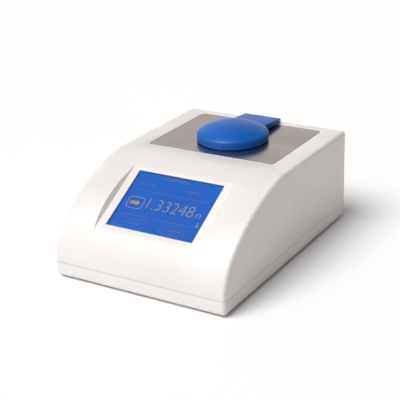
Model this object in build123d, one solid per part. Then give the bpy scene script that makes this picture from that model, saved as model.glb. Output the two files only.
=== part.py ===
"""Benchtop automatic refractometer: a wedge-nosed plastic case with a sloping touch display,
a steel deck with a prism sample well, a hinged blue light-shield lid, and the optics,
cooling and electronics inside.

Frame: millimetres, +Z up, +X to the operator's right, front of the case towards -Y,
origin on the table under the middle of the case."""
from build123d import *
import os
from math import cos, sin, radians, hypot

# ---------------------------------------------------------------- driving dimensions
WIDTH = 255.0              # case, side to side
DEPTH = 350.0              # case, front to back
CASE_HEIGHT = 127.0        # underside of the tray to the flat deck
FOOT_SHOWING = 3.0         # rubber below the tray
TRAY_HEIGHT = 19.5         # lower tray, underside to parting line
WALL = 3.0                 # moulded wall
EDGE_ROUND = 5.0           # long outer edges of the housing
TRAY_ROUND = 4.5           # lower edge of the tray
PART_GAP = 0.6             # shadow line between tray and housing

NOSE_STEPS = 14            # points along the inside of the curved front

SCREEN_TILT = 28.6         # display plane above horizontal, degrees
SCREEN_BACK = 73.4         # display centre behind the front of the case
SCREEN_UP = 94.2           # display centre above the tray underside
POCKET_HALF = 76.3         # half width of the flat cut into the nose
POCKET_FLARE = 0.45        # outward run of the pocket side walls per unit of rise
WINDOW = (129.5, 95.0)     # opening in the pocket floor
TOUCH = (137.0, 102.5)     # touch glass

DECK_FRONT = 183.5         # steel deck plate, from the front of the case
DECK_SIZE = (195.0, 150.0)
DECK_SHEET = 1.5
DECK_CORNER = 8.0

WELL_BACK = 251.0          # sample well and lid centre, from the front of the case
LID_RADIUS = 50.0
LID_GAP = 1.0              # lid rim above the deck
LID_RIM = 10.0             # straight side of the lid
LID_RISE = 15.2            # dome above the straight side
LID_WALL = 2.5
LID_SHOULDER_ROUND = 4.0   # where the dome meets the straight side

ARM_HALF = 28.5            # half width of the lid arm
HINGE_BACK = 338.5         # hinge pin behind the front of the case
HINGE_UP = 4.4             # hinge pin above the deck
HINGE_EYE = 3.2            # outer radius of the hinge eyes
PIN_RADIUS = 1.5
PIN_PLAY = 0.05

PANEL_INSET = 8.0          # connector panel, ahead of the rear face
PANEL_SIZE = (205.0, 87.0)
PANEL_SHEET = 2.0
PANEL_MID_UP = 71.5        # panel centre above the tray underside
PANEL_GAP = 0.3            # round the panel's edge
PANEL_LEDGE = 9.0          # width of the ledge that the panel is screwed to
FRAME_WALL = 2.5           # rear frame round the bay
FRAME_GAP = 0.1

OPTIC_ANGLE = 25.0         # lamp and sensor barrels below horizontal, degrees
OPTIC_DROP = 14.0          # where their axes cross, below the deck

# ---------------------------------------------------------------- derived positions
FRONT = -DEPTH / 2
REAR = DEPTH / 2
BOTTOM = FOOT_SHOWING
SEAM = BOTTOM + TRAY_HEIGHT
DECK = BOTTOM + CASE_HEIGHT
HALF = WIDTH / 2
FLOOR = BOTTOM + WALL
NOSE_RISE = DECK - SEAM
# Bezier poles of the curved front, as (back from the front, up from the seam)
NOSE_POLES = [(0.0, 0.0), (0.0, 22.0), (12.0, 75.0), (128.0, NOSE_RISE), (160.0, NOSE_RISE)]
WELL_Y = FRONT + WELL_BACK
PANEL_Y = REAR - PANEL_INSET
PANEL_Z = BOTTOM + PANEL_MID_UP
HINGE_Y = FRONT + HINGE_BACK
HINGE_Z = DECK + HINGE_UP
DECK_MID_Y = FRONT + DECK_FRONT + DECK_SIZE[1] / 2
DECK_UNDER = DECK - DECK_SHEET

TILT = radians(SCREEN_TILT)
SCREEN = Plane(
    origin=(0, FRONT + SCREEN_BACK, BOTTOM + SCREEN_UP),
    x_dir=(1, 0, 0),
    z_dir=(0, -sin(TILT), cos(TILT)),
).location


# ---------------------------------------------------------------- small helpers
def block(x0, x1, y0, y1, z0, z1):
    """Box between two corners."""
    centre = Pos((x0 + x1) / 2, (y0 + y1) / 2, (z0 + z1) / 2)
    return centre * Box(x1 - x0, y1 - y0, z1 - z0)


def rod(radius, z0, z1, x=0.0, y=0.0):
    """Upright cylinder."""
    return Pos(x, y, (z0 + z1) / 2) * Cylinder(radius, z1 - z0)


def rod_x(radius, x0, x1, y, z):
    """Cylinder along X."""
    return Pos((x0 + x1) / 2, y, z) * Rot(0, 90, 0) * Cylinder(radius, x1 - x0)


def rod_y(radius, y0, y1, x, z):
    """Cylinder along Y."""
    return Pos(x, (y0 + y1) / 2, z) * Rot(90, 0, 0) * Cylinder(radius, y1 - y0)


def tube(outer, inner, z0, z1, x=0.0, y=0.0):
    """Upright ring or tube."""
    return rod(outer, z0, z1, x, y) - rod(inner, z0 - 1, z1 + 1, x, y)


def rounded_slab(width, length, height, radius, z0, x=0.0, y=0.0):
    """Slab with rounded upright corners, standing on z0."""
    return Pos(x, y, z0) * extrude(RectangleRounded(width, length, radius), height)


def turned(points):
    """Solid of revolution about Z from (radius, z) points."""
    outline = Polyline(*[(r, 0, z) for r, z in points], close=True)
    return revolve(make_face(outline), Axis.Z)


def corners(dx, dy, y0=0.0):
    """Four places, symmetric about x = 0 and y = y0."""
    return [(sx * dx, y0 + sy * dy) for sx in (-1, 1) for sy in (-1, 1)]


def pan_screw(shank, head, length, head_height=2.0):
    """Pan-head screw with a cross recess: head up, seat at z = 0, shank down."""
    screw = rod(shank, -length, 0) + rod(head, 0, head_height)
    screw = fillet(screw.edges().group_by(Axis.Z)[-1], head_height * 0.4)
    for angle in (0, 90):
        screw -= Pos(0, 0, head_height) * Rot(0, 0, angle) * Box(head * 1.1, head * 0.28, head_height)
    return screw


# ---------------------------------------------------------------- case
def nose_point(t, inset):
    """Point of the curved front at t = 0..1, moved inwards by inset."""
    level = NOSE_POLES
    while len(level) > 2:
        level = [((1 - t) * a[0] + t * b[0], (1 - t) * a[1] + t * b[1]) for a, b in zip(level, level[1:])]
    (y0, z0), (y1, z1) = level
    size = hypot(y1 - y0, z1 - z0)
    y = (1 - t) * y0 + t * y1 + inset * (z1 - z0) / size
    z = (1 - t) * z0 + t * z1 - inset * (y1 - y0) / size
    return (0, FRONT + y, SEAM + z)


def case_section(inset, low):
    """Side outline of the housing, moved inwards by inset and running down to z = low."""
    if inset:
        points = [nose_point(step / NOSE_STEPS, inset) for step in range(NOSE_STEPS + 1)]
        nose = Spline(*points, tangents=[(0, 0, 1), (0, 1, 0)])
    else:
        nose = Bezier(*[(0, FRONT + y, SEAM + z) for y, z in NOSE_POLES])
    first, last = nose @ 0, nose @ 1
    rear = REAR - inset
    around = [last, (0, rear, last.Z), (0, rear, low), (0, first.Y, low)]
    if low < SEAM:
        around.append(first)
    return make_face(nose + Polyline(*around))


def case_solid(inset, low):
    """The section drawn out to the sides, less the inset."""
    half = HALF - inset
    return Pos(-half, 0, 0) * extrude(case_section(inset, low), 2 * half, dir=(1, 0, 0))


def pocket(grow):
    """Wedge that cuts the flat display pocket, grown by grow on the inside."""
    top = 16.0
    half = POCKET_HALF + grow * 1.2
    flare = POCKET_FLARE * (top + grow)
    outline = Polyline((-half, 0, -grow), (half, 0, -grow), (half + flare, 0, top),
                       (-half - flare, 0, top), close=True)
    return SCREEN * extrude(make_face(outline), 115, both=True)


def screen_slab(size, w0, w1, radius=0.0):
    """Slab parallel to the display, between heights w0 and w1 above the pocket floor."""
    face = RectangleRounded(size[0], size[1], radius) if radius else Rectangle(*size)
    return SCREEN * Pos(0, 0, w0) * extrude(face, w1 - w0)


def bay_block(grow, y0, y1):
    """Block as wide and tall as the connector bay, grown by grow on all four sides."""
    half_x = PANEL_SIZE[0] / 2 + PANEL_GAP + grow
    half_z = PANEL_SIZE[1] / 2 + PANEL_GAP + grow
    return block(-half_x, half_x, y0, y1, PANEL_Z - half_z, PANEL_Z + half_z)


CASE_BOSS = [(sx * (HALF - 11), FRONT + along) for sx in (-1, 1) for along in (22, 175, DEPTH - 18)]
DISPLAY_BOSS = [(sx * 74.5, sy * 40.0) for sx in (-1, 1) for sy in (-1, 1)]
PANEL_SCREWS = [(sx * 98.0, PANEL_Z + sz * 39.0) for sx in (-1, 1) for sz in (-1, 1)]


def upper_housing():
    """Main moulding: curved nose, display pocket, deck recess and the hole for the rear frame."""
    outer = case_solid(0, SEAM)
    side_edges = outer.edges().filter_by(
        lambda e: abs(abs(e.center().X) - HALF) < 0.01 and e.center().Z > SEAM + 0.1)
    rear_edge = outer.edges().filter_by(
        lambda e: abs(e.center().X) < 0.01 and e.center().Y > REAR - 0.1 and e.center().Z > SEAM + 0.1)
    outer = fillet(side_edges + rear_edge, EDGE_ROUND)
    cavity = case_solid(WALL, SEAM - 1) - pocket(WALL)
    shell = outer - cavity - pocket(0)
    # window with a rebate behind it for the touch glass
    shell -= screen_slab(WINDOW, -WALL - 1, 1, 1.0)
    shell -= screen_slab((TOUCH[0] + 0.5, TOUCH[1] + 0.5), -WALL - 1, -1.5)
    # deck: thickened ledge, recess for the steel plate, opening below it
    ledge = 6.0
    wide, long = DECK_SIZE
    shell += rounded_slab(wide + 6, long + 6, 4.0, DECK_CORNER, DECK - 5.5, 0, DECK_MID_Y)
    shell -= rounded_slab(wide + 0.6, long + 0.6, DECK_SHEET + 1, DECK_CORNER, DECK_UNDER, 0, DECK_MID_Y)
    shell -= rounded_slab(wide - 2 * ledge, long - 2 * ledge, 20, DECK_CORNER, DECK - 15, 0, DECK_MID_Y)
    # rectangular hole in the rear wall for the connector bay
    shell -= bay_block(FRAME_WALL + FRAME_GAP, REAR - 3 * WALL, REAR + 1)
    # bosses
    for x, y in CASE_BOSS:
        shell += rod(4.5, SEAM, SEAM + 22, x, y)
        side = 1 if x > 0 else -1
        shell += block(min(x, side * (HALF - 1)), max(x, side * (HALF - 1)), y - 1.5, y + 1.5, SEAM, SEAM + 22)
        shell -= rod(1.6, SEAM - 1, SEAM + 16, x, y)
    for u, v in DISPLAY_BOSS:
        shell += SCREEN * Pos(u, v, -WALL - 3.6) * Cylinder(3.0, 8.0)
        shell -= SCREEN * Pos(u, v, -WALL - 5) * Cylinder(1.1, 9.0)
    # hinge screw holes through the rear rim
    for x in (-5.5, 5.5):
        shell -= rod(1.6, DECK - 8, DECK + 1, x, FRONT + 343.0)
    return shell


def rear_frame():
    """Moulded frame of the rear bay: tunnel, flange behind the rear wall, and the panel's ledge."""
    seat = PANEL_Y - PANEL_SHEET
    frame = bay_block(FRAME_WALL, seat - WALL, REAR - 0.3)
    frame += bay_block(FRAME_WALL + FRAME_GAP + 2.0, REAR - WALL - 2.5, REAR - WALL)
    frame -= bay_block(0, seat, REAR + 1)
    frame -= bay_block(-PANEL_LEDGE, seat - 2 * WALL, seat + 1)
    for x, z in PANEL_SCREWS:
        frame -= rod_y(1.5, seat - 4, seat + 1, x, z)
    return frame


FOOT_SPOTS = corners(HALF - 28, REAR - 30)
PILLARS = corners(36, 44, WELL_Y - 6)
BOARD_POSTS = corners(70, 42, FRONT + 88)
SUPPLY_POSTS = corners(27, 44, FRONT + 232)
SUPPLY_X = 86.0


def base_tray():
    """Lower tray with rounded lower edge, ribs, posts and vent slots."""
    lip = SEAM - PART_GAP
    outer = rounded_slab(WIDTH, DEPTH, lip - BOTTOM, EDGE_ROUND, BOTTOM)
    outer = fillet(outer.edges().group_by(Axis.Z)[0], TRAY_ROUND)
    inner = rounded_slab(WIDTH - 2 * WALL, DEPTH - 2 * WALL, 60, EDGE_ROUND - 2, FLOOR)
    tray = outer - inner
    # tongue that stands up inside the housing and leaves the shadow gap
    tongue = rounded_slab(WIDTH - 2 * WALL - 0.4, DEPTH - 2 * WALL - 0.4, 4.6, 3, lip - 2.0)
    tongue -= rounded_slab(WIDTH - 2 * WALL - 4.4, DEPTH - 2 * WALL - 4.4, 10, 2, lip - 4.0)
    seam_lip = rounded_slab(WIDTH - 2.4, DEPTH - 2.4, PART_GAP, EDGE_ROUND - 1, lip)
    seam_lip -= rounded_slab(WIDTH - 2 * WALL - 4.4, DEPTH - 2 * WALL - 4.4, 10, 2, lip - 4.0)
    tray += tongue + seam_lip
    for x, y in CASE_BOSS:
        tray -= rod(5.2, SEAM, SEAM + 10, x, y)
        tray += rod(5.5, FLOOR - 0.5, SEAM, x, y)
        tray -= rod(2.1, BOTTOM - 1, SEAM + 1, x, y) + rod(4.2, BOTTOM - 1, BOTTOM + 4, x, y)
        side = 1 if x > 0 else -1
        slot = block(min(x, side * (HALF - 2)), max(x, side * (HALF - 2)), y - 2, y + 2, SEAM, SEAM + 10)
        tray -= slot
    for x, y in FOOT_SPOTS:
        tray -= rod(9.2, BOTTOM - 1, BOTTOM + 1, x, y)
        tray += rod(6.0, FLOOR - 0.5, FLOOR + 4, x, y)
        tray -= rod(1.3, BOTTOM - 1, FLOOR + 5, x, y)
    # cooling slots under the power supply and the heat sink
    for side in (-1, 1):
        for row in range(9):
            y = FRONT + 200 + 8.0 * row
            tray -= rounded_slab(42, 3.2, 20, 1.5, BOTTOM - 5, side * 74, y)
    return tray


def rubber_feet():
    """Four moulded feet, each with a sunk screw hole."""
    profile = [(1.7, 0.9), (3.4, 0.9), (3.4, 0), (8.0, 0), (9.0, 1.0), (9.0, BOTTOM + 1), (1.7, BOTTOM + 1)]
    foot = turned(profile)
    return [Pos(x, y, 0) * foot for x, y in FOOT_SPOTS]


def foot_screws():
    """Screws that hold the feet, heads sunk in the rubber."""
    screw = Rot(180, 0, 0) * pan_screw(1.3, 2.9, 8.6, 0.8)
    return [Pos(x, y, 0.9) * screw for x, y in FOOT_SPOTS]


def case_screws():
    """Six screws that pull the housing down onto the tray."""
    screw = Rot(180, 0, 0) * pan_screw(1.6, 3.4, 30.0, 2.2)
    return [Pos(x, y, BOTTOM + 4) * screw for x, y in CASE_BOSS]


# ---------------------------------------------------------------- display
def display_gasket():
    """Dark foam frame between the pocket floor and the touch glass."""
    frame = screen_slab(TOUCH, -2.0, -1.5) - screen_slab((128.6, 94.1), -3, 0)
    return frame


def touch_glass():
    """Resistive touch sheet on glass."""
    return screen_slab(TOUCH, -3.2, -2.0)


def lcd_module():
    """Liquid crystal panel with its pressed frame and circuit card."""
    body = screen_slab((142.0, 100.0), -9.4, -3.2)
    card = screen_slab((136.0, 94.0), -11.0, -9.4)
    socket = SCREEN * Pos(-30, -38, -13.4) * Box(30, 6, 4.8)
    return body + card + socket


def display_bracket():
    """Sheet metal frame that clamps the module against the pocket."""
    plate = screen_slab((157.0, 90.0), -12.2, -11.0, 4.0)
    plate -= screen_slab((112.0, 70.0), -13, -10, 4.0)
    plate -= SCREEN * Pos(-30, -38, -11.5) * Box(32, 8, 6)
    for u, v in DISPLAY_BOSS:
        spacer = SCREEN * Pos(u, v, -10.8) * Cylinder(3.0, 0.4)
        plate += spacer
        plate -= SCREEN * Pos(u, v, -11.5) * Cylinder(1.4, 4.0)
    return plate


def display_screws():
    """Four screws through the bracket into the pocket bosses."""
    screw = Rot(180, 0, 0) * pan_screw(1.1, 2.4, 7.0, 1.6)
    return [SCREEN * Pos(u, v, -12.2) * screw for u, v in DISPLAY_BOSS]


# ---------------------------------------------------------------- deck and sample well
WELL_SCREWS = [(31.0 * cos(radians(a)), WELL_Y + 31.0 * sin(radians(a))) for a in (45, 135, 225, 315)]
PRISM_TOP = DECK - 5.0
CARRIER_TOP = DECK - 8.0
CARRIER_LOW = DECK - 30.0
OPTIC_POINT = (0, WELL_Y, DECK - OPTIC_DROP)


def barrel_place(towards):
    """Frame on the lamp (towards = -1) or sensor (+1) axis: local +Z runs outwards and down."""
    lean = radians(OPTIC_ANGLE)
    return Plane(origin=OPTIC_POINT, x_dir=(1, 0, 0), z_dir=(0, towards * cos(lean), -sin(lean))).location


def barrel_piece(towards, outer, start, end, inner=0.0):
    """Round piece on an optical axis, from start to end along it."""
    piece = Pos(0, 0, (start + end) / 2) * Cylinder(outer, end - start)
    if inner:
        piece -= Pos(0, 0, (start + end) / 2) * Cylinder(inner, end - start + 2)
    return barrel_place(towards) * piece


def deck_plate():
    """Stainless deck plate with a hole for the well."""
    plate = rounded_slab(DECK_SIZE[0], DECK_SIZE[1], DECK_SHEET, DECK_CORNER - 0.3, DECK_UNDER, 0, DECK_MID_Y)
    plate -= rod(20.4, DECK - 5, DECK + 1, 0, WELL_Y)
    for x, y in WELL_SCREWS:
        plate -= rod(1.7, DECK - 5, DECK + 1, x, y)
    top = plate.edges().filter_by(lambda e: e.center().Z > DECK - 0.01 and
                                  hypot(e.center().X, e.center().Y - WELL_Y) > 50)
    return fillet(top, 0.4)


def deck_clips():
    """Four angle clips that hold the plate's corners to the ledge from below."""
    clips = []
    for x, y in corners(DECK_SIZE[0] / 2 - 13, DECK_SIZE[1] / 2 - 28, DECK_MID_Y):
        side = 1 if x > 0 else -1
        stem = block(x - 3, x + 3, y - 6, y + 6, DECK_UNDER - 6.0, DECK_UNDER)
        toe = block(min(x, x + side * 9), max(x, x + side * 9), y - 6, y + 6, DECK_UNDER - 6.0, DECK_UNDER - 4.2)
        clips.append(stem + toe)
    return clips


def sample_well():
    """Turned steel dish that holds the sample over the prism."""
    profile = [(12.4, CARRIER_TOP), (20.0, CARRIER_TOP), (20.0, DECK), (36.0, DECK), (36.0, DECK + 1.2),
               (35.2, DECK + 2.0), (27.0, DECK + 2.0), (26.5, DECK + 3.5), (24.5, DECK + 3.5),
               (23.5, DECK + 2.6), (12.4, PRISM_TOP)]
    well = Pos(0, WELL_Y, 0) * turned(profile)
    for x, y in WELL_SCREWS:
        well -= rod(1.7, DECK - 1, DECK + 4, x, y) + rod(3.0, DECK + 0.6, DECK + 4, x, y)
    return well


def well_screws():
    """Four screws with heads sunk in the well flange."""
    screw = pan_screw(1.5, 2.7, 12.0, 1.2)
    return [Pos(x, y, DECK + 0.6) * screw for x, y in WELL_SCREWS]


def prism_seal():
    """Ring that seals the prism in the dish."""
    return tube(12.4, 10.9, CARRIER_TOP, PRISM_TOP, 0, WELL_Y)


def measuring_prism():
    """Sapphire prism: round window on top, slanted light faces below."""
    head = rod(10.9, CARRIER_TOP, PRISM_TOP, 0, WELL_Y)
    lean = radians(OPTIC_ANGLE)
    drop = 13.0
    foot = 10.0 - drop * sin(lean) / cos(lean)
    outline = Polyline((0, WELL_Y - 10, CARRIER_TOP), (0, WELL_Y + 10, CARRIER_TOP),
                       (0, WELL_Y + foot, CARRIER_TOP - drop), (0, WELL_Y - foot, CARRIER_TOP - drop),
                       close=True)
    return head + extrude(make_face(outline), 4.0, both=True)


def prism_carrier():
    """Brass cup under the well that holds the prism and is kept at temperature."""
    cup = rod(20.0, CARRIER_LOW, CARRIER_TOP, 0, WELL_Y)
    cup -= block(-4.3, 4.3, WELL_Y - 10.4, WELL_Y + 10.4, CARRIER_TOP - 14, CARRIER_TOP + 1)
    for towards in (-1, 1):
        cup -= barrel_piece(towards, 5.0, 3, 40)
    cup -= rod_x(1.55, -25, -11, WELL_Y, DECK - 18)
    return cup


def temperature_probe():
    """Platinum probe pushed into the side of the carrier."""
    return rod_x(1.5, -56, -11.5, WELL_Y, DECK - 18) + rod_x(3.0, -56, -48, WELL_Y, DECK - 18)


BLOCK_LOW = BOTTOM + 68.0


def optical_block():
    """Machined aluminium body that ties the well, lamp barrel and sensor barrel together."""
    body = block(-42, 42, WELL_Y - 58, WELL_Y + 46, BLOCK_LOW, DECK_UNDER)
    body -= rod(20.0, CARRIER_LOW, DECK, 0, WELL_Y)
    body -= barrel_piece(-1, 11.0, 24, 120) + barrel_piece(-1, 9.0, 10, 30)
    body -= barrel_piece(1, 13.0, 24, 120) + barrel_piece(1, 11.0, 10, 30)
    body -= rod_x(3.2, -47, -19, WELL_Y, DECK - 18)
    for x, y in WELL_SCREWS:
        body -= rod(1.5, DECK - 14, DECK, x, y)
    for x, y in PILLARS:
        body -= rod(1.6, BLOCK_LOW - 1, BLOCK_LOW + 12, x, y)
    for side in (-1, 1):
        body -= block(side * 38 - 8, side * 38 + 8, WELL_Y - 59, WELL_Y - 22, DECK - 26, DECK)
    return body


def block_pillars():
    """Four pillars that carry the optical block on the tray."""
    return [rod(5.0, FLOOR, BLOCK_LOW, x, y) + rod(1.6, BLOCK_LOW, BLOCK_LOW + 10, x, y) for x, y in PILLARS]


def lamp_barrel():
    """Tube for lamp, filter and collimator."""
    return barrel_piece(-1, 11.0, 24, 96, 9.0)


def collimator_lens():
    """Bi-convex lens ahead of the lamp: two shallow balls cut to the barrel's bore."""
    ball, offset = 27.0, 24.0
    lens = Pos(0, 0, offset) * Sphere(ball) & Pos(0, 0, -offset) * Sphere(ball)
    lens &= Cylinder(9.0, 10.0)
    return barrel_place(-1) * Pos(0, 0, 52) * lens


def band_filter():
    """Interference filter that passes the yellow line only."""
    return barrel_piece(-1, 9.0, 62, 65)


def lamp_board():
    """Round card with the light-emitting diode on it."""
    card = Pos(0, 0, 97) * Cylinder(14.0, 2.0)
    stem = Pos(0, 0, 93.5) * Cylinder(6.0, 5.0)
    bulb = Pos(0, 0, 91) * Sphere(2.4)
    return barrel_place(-1) * (card + stem + bulb)


def sensor_barrel():
    """Tube between prism and line sensor."""
    return barrel_piece(1, 13.0, 24, 70, 11.0)


def sensor_lens():
    """Field lens that images the light boundary on the sensor."""
    return barrel_piece(1, 11.0, 40, 44)


def sensor_board():
    """Card with the line sensor, across the end of its barrel."""
    card = Pos(0, 0, 71) * Box(56, 34, 2.0)
    chip = Pos(0, 0, 68.6) * Box(16, 8, 2.8)
    return barrel_place(1) * (card + chip)


# ---------------------------------------------------------------- lid
DOME_BALL = (LID_RADIUS ** 2 + LID_RISE ** 2) / (2 * LID_RISE)
LID_LOW = DECK + LID_GAP
LID_SHOULDER = LID_LOW + LID_RIM
LID_TOP = LID_SHOULDER + LID_RISE
CARRIER_DISC = (DECK + 6.5, DECK + 9.0)
LID_SCREWS = [(36.0 * sin(radians(a)), WELL_Y - 36.0 * cos(radians(a))) for a in (0, 120, 240)]


def dome(radius, ball, low):
    """Round cap: straight side up to the ball's surface."""
    sphere = Pos(0, WELL_Y, LID_TOP - DOME_BALL) * Sphere(ball)
    return rod(radius, low, LID_TOP + 1, 0, WELL_Y) & sphere


def arm_outline(grow=0.0):
    """Side outline of the arm, from under the dome to the hinge."""
    start = WELL_Y + 38
    return Polyline((0, start, DECK + 4.0 - grow), (0, HINGE_Y, HINGE_Z - HINGE_EYE - grow),
                    (0, HINGE_Y, HINGE_Z + HINGE_EYE + grow), (0, start, DECK + 11.6 + grow), close=True)


def lid_cover():
    """Blue dome, hollow, notched at the back for the arm."""
    shell = dome(LID_RADIUS, DOME_BALL, LID_LOW)
    rim = shell.edges().filter_by(lambda e: abs(e.center().Z - LID_SHOULDER) < 0.2)
    shell = fillet(rim, LID_SHOULDER_ROUND)
    shell -= dome(LID_RADIUS - LID_WALL, DOME_BALL - LID_WALL, LID_LOW - 1)
    for x, y in LID_SCREWS:
        boss = rod(3.6, CARRIER_DISC[1], LID_TOP, x, y)
        boss &= Pos(0, WELL_Y, LID_TOP - DOME_BALL) * Sphere(DOME_BALL - 1)
        shell += boss
        shell -= rod(1.3, CARRIER_DISC[1] - 1, CARRIER_DISC[1] + 5, x, y)
    notch = extrude(make_face(arm_outline(0.25)), ARM_HALF + 0.25, both=True)
    shell -= notch
    shell -= block(-ARM_HALF - 0.25, ARM_HALF + 0.25, WELL_Y + 30, WELL_Y + 60, LID_LOW - 1, DECK + 5)
    return shell


def lid_arm():
    """Blue arm with the disc that carries the dome, and two hinge eyes."""
    bar = extrude(make_face(arm_outline()), ARM_HALF, both=True)
    bar += rod_x(HINGE_EYE, -ARM_HALF, ARM_HALF, HINGE_Y, HINGE_Z)
    long_edges = bar.edges().filter_by(
        lambda e: abs(abs(e.center().X) - ARM_HALF) < 0.01 and e.center().Z > DECK + 5
        and WELL_Y + 40 < e.center().Y < HINGE_Y - 1)
    bar = fillet(long_edges, 0.8)
    disc = rod(44.0, CARRIER_DISC[0], CARRIER_DISC[1], 0, WELL_Y)
    bar += disc
    bar -= block(-10, 10, HINGE_Y - HINGE_EYE - 0.8, HINGE_Y + 5, DECK, DECK + 20)
    bar -= rod_x(PIN_RADIUS, -ARM_HALF - 1, ARM_HALF + 1, HINGE_Y, HINGE_Z)
    for x, y in LID_SCREWS:
        bar -= rod(1.6, DECK, DECK + 12, x, y)
    bar -= rod(2.1, DECK, DECK + 12, 0, WELL_Y)
    return bar


def lid_pad():
    """Black pressing pad that closes the well against stray light."""
    pad = rod(32.0, DECK + 4.0, CARRIER_DISC[0], 0, WELL_Y)
    pad -= tube(31.0, 28.5, DECK + 3, DECK + 5, 0, WELL_Y)
    pad -= rod(2.1, DECK, DECK + 12, 0, WELL_Y) + rod(4.0, DECK, DECK + 5.2, 0, WELL_Y)
    return pad


def lid_seal():
    """Soft ring in the pad that closes on the well flange."""
    return tube(31.0, 28.5, DECK + 2.5, DECK + 5, 0, WELL_Y)


def lid_screws():
    """Three screws from the carrying disc up into the dome."""
    screw = Rot(180, 0, 0) * pan_screw(1.3, 2.6, 7.0, 1.6)
    return [Pos(x, y, CARRIER_DISC[0]) * screw for x, y in LID_SCREWS]


def pad_screw():
    """Centre screw of the pad with its nut on the disc."""
    screw = Pos(0, WELL_Y, DECK + 5.2) * Rot(180, 0, 0) * pan_screw(2.0, 3.6, 7.0, 1.1)
    nut = Pos(0, WELL_Y, CARRIER_DISC[1]) * extrude(RegularPolygon(4.0, 6), 2.4)
    nut -= rod(2.0, DECK, DECK + 15, 0, WELL_Y)
    return [screw, nut]


def hinge_lug():
    """Fixed middle eye of the hinge, screwed to the rear rim."""
    lug = block(-9.5, 9.5, HINGE_Y - HINGE_EYE, HINGE_Y + 8, DECK, DECK + 3.2)
    lug += rod_x(HINGE_EYE, -9.5, 9.5, HINGE_Y, HINGE_Z)
    lug += block(-9.5, 9.5, HINGE_Y - HINGE_EYE, HINGE_Y + HINGE_EYE, DECK, HINGE_Z)
    lug -= rod_x(PIN_RADIUS + PIN_PLAY, -15, 15, HINGE_Y, HINGE_Z)
    for x in (-5.5, 5.5):
        lug -= rod(1.3, DECK - 1, DECK + 2.6, x, FRONT + 343.0)
    return lug


def hinge_pin():
    """Steel pin, pressed into the arm's eyes."""
    return rod_x(PIN_RADIUS, -ARM_HALF + 0.5, ARM_HALF - 0.5, HINGE_Y, HINGE_Z)


def hinge_screws():
    """Two screws from inside the rim up into the lug."""
    screw = Rot(180, 0, 0) * pan_screw(1.3, 2.6, 7.4, 1.6)
    return [Pos(x, FRONT + 343.0, DECK - 5.0) * screw for x in (-5.5, 5.5)]


# ---------------------------------------------------------------- rear connector panel
INLET = (66.0, PANEL_Z - 12)
ROCKER = (28.0, PANEL_Z - 12)
SERIAL = (0.0, PANEL_Z + 24)
USB = (-2.0, PANEL_Z - 12)
FAN = (-62.0, PANEL_Z)
FAN_SIZE = 60.0
FAN_DEPTH = 20.0
PANEL_IN = PANEL_Y - PANEL_SHEET
FAN_HOLES = [(FAN[0] + sx * 25, FAN[1] + sz * 25) for sx in (-1, 1) for sz in (-1, 1)]
ROCKER_SWING = 9.0
ROCKER_PIN = 1.2
ROCKER_Y = PANEL_Y - 2.0


def y_slab(width, height, y0, y1, place, radius=0.0):
    """Slab facing the rear, between y0 and y1, centred on place (x, z)."""
    face = RectangleRounded(width, height, radius) if radius else Rectangle(width, height)
    plane = Plane(origin=(place[0], y0, place[1]), x_dir=(1, 0, 0), z_dir=(0, 1, 0))
    return extrude(plane * face, y1 - y0)


def rear_panel():
    """Painted sheet with the connector cut-outs and the fan grille."""
    panel = y_slab(PANEL_SIZE[0], PANEL_SIZE[1], PANEL_IN, PANEL_Y, (0, PANEL_Z), 1.0)
    y0, y1 = PANEL_IN - 1, PANEL_Y + 1
    panel -= y_slab(48.4, 30.4, y0, y1, INLET, 2.0)
    panel -= y_slab(13.4, 27.4, y0, y1, ROCKER, 0.5)
    panel -= y_slab(20.4, 11.4, y0, y1, SERIAL, 2.0)
    panel -= y_slab(12.4, 11.4, y0, y1, USB, 0.5)
    for side in (-1, 1):
        panel -= rod_y(1.6, y0, y1, SERIAL[0] + side * 12.5, SERIAL[1])
    for x, z in PANEL_SCREWS:
        panel -= rod_y(1.7, y0, y1, x, z)
    for x, z in FAN_HOLES:
        panel -= rod_y(1.7, y0, y1, x, z)
    # grille: three rings of slots with four spokes left
    for ring in (8.0, 15.0, 22.0):
        slot = rod_y(ring + 4.5, y0, y1, *FAN) - rod_y(ring, y0 - 1, y1 + 1, *FAN)
        for angle in (45, 135):
            spoke = Pos(FAN[0], PANEL_Y, FAN[1]) * Rot(0, angle, 0) * Box(70, 10, 3.0)
            slot -= spoke
        panel -= slot
    return panel


def panel_screws():
    """Four screws at the corners of the panel."""
    screw = Rot(-90, 0, 0) * pan_screw(1.5, 2.9, 5.0, 1.8)
    return [Pos(x, PANEL_Y, z) * screw for x, z in PANEL_SCREWS]


def power_inlet():
    """Mains inlet: flange, recess for the plug, and a slot for the fuse drawer."""
    body = y_slab(48.0, 30.0, PANEL_IN - 22, PANEL_Y, INLET, 1.5)
    body += y_slab(54.0, 36.0, PANEL_Y, PANEL_Y + 2.5, INLET, 3.0)
    socket = (INLET[0], INLET[1] + 4.5)
    outline = Polyline((-12.4, 8.2), (12.4, 8.2), (12.4, -4.0), (8.2, -8.2), (-8.2, -8.2), (-12.4, -4.0),
                       close=True)
    mouth = Plane(origin=(socket[0], PANEL_Y + 3, socket[1]), x_dir=(-1, 0, 0), z_dir=(0, 1, 0))
    body -= extrude(mouth * make_face(outline), -19)
    body -= y_slab(26.0, 6.6, PANEL_IN - 17, PANEL_Y + 3, (INLET[0], INLET[1] - 9.6))
    return body


def inlet_pins():
    """Three flat contact blades in the inlet."""
    socket = (INLET[0], INLET[1] + 4.5)
    pins = []
    for x, z in ((-7.0, -1.5), (7.0, -1.5), (0.0, 2.5)):
        pins.append(y_slab(2.0, 4.0, PANEL_Y - 16, PANEL_Y - 1, (socket[0] + x, socket[1] + z), 0.6))
    return pins


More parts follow.
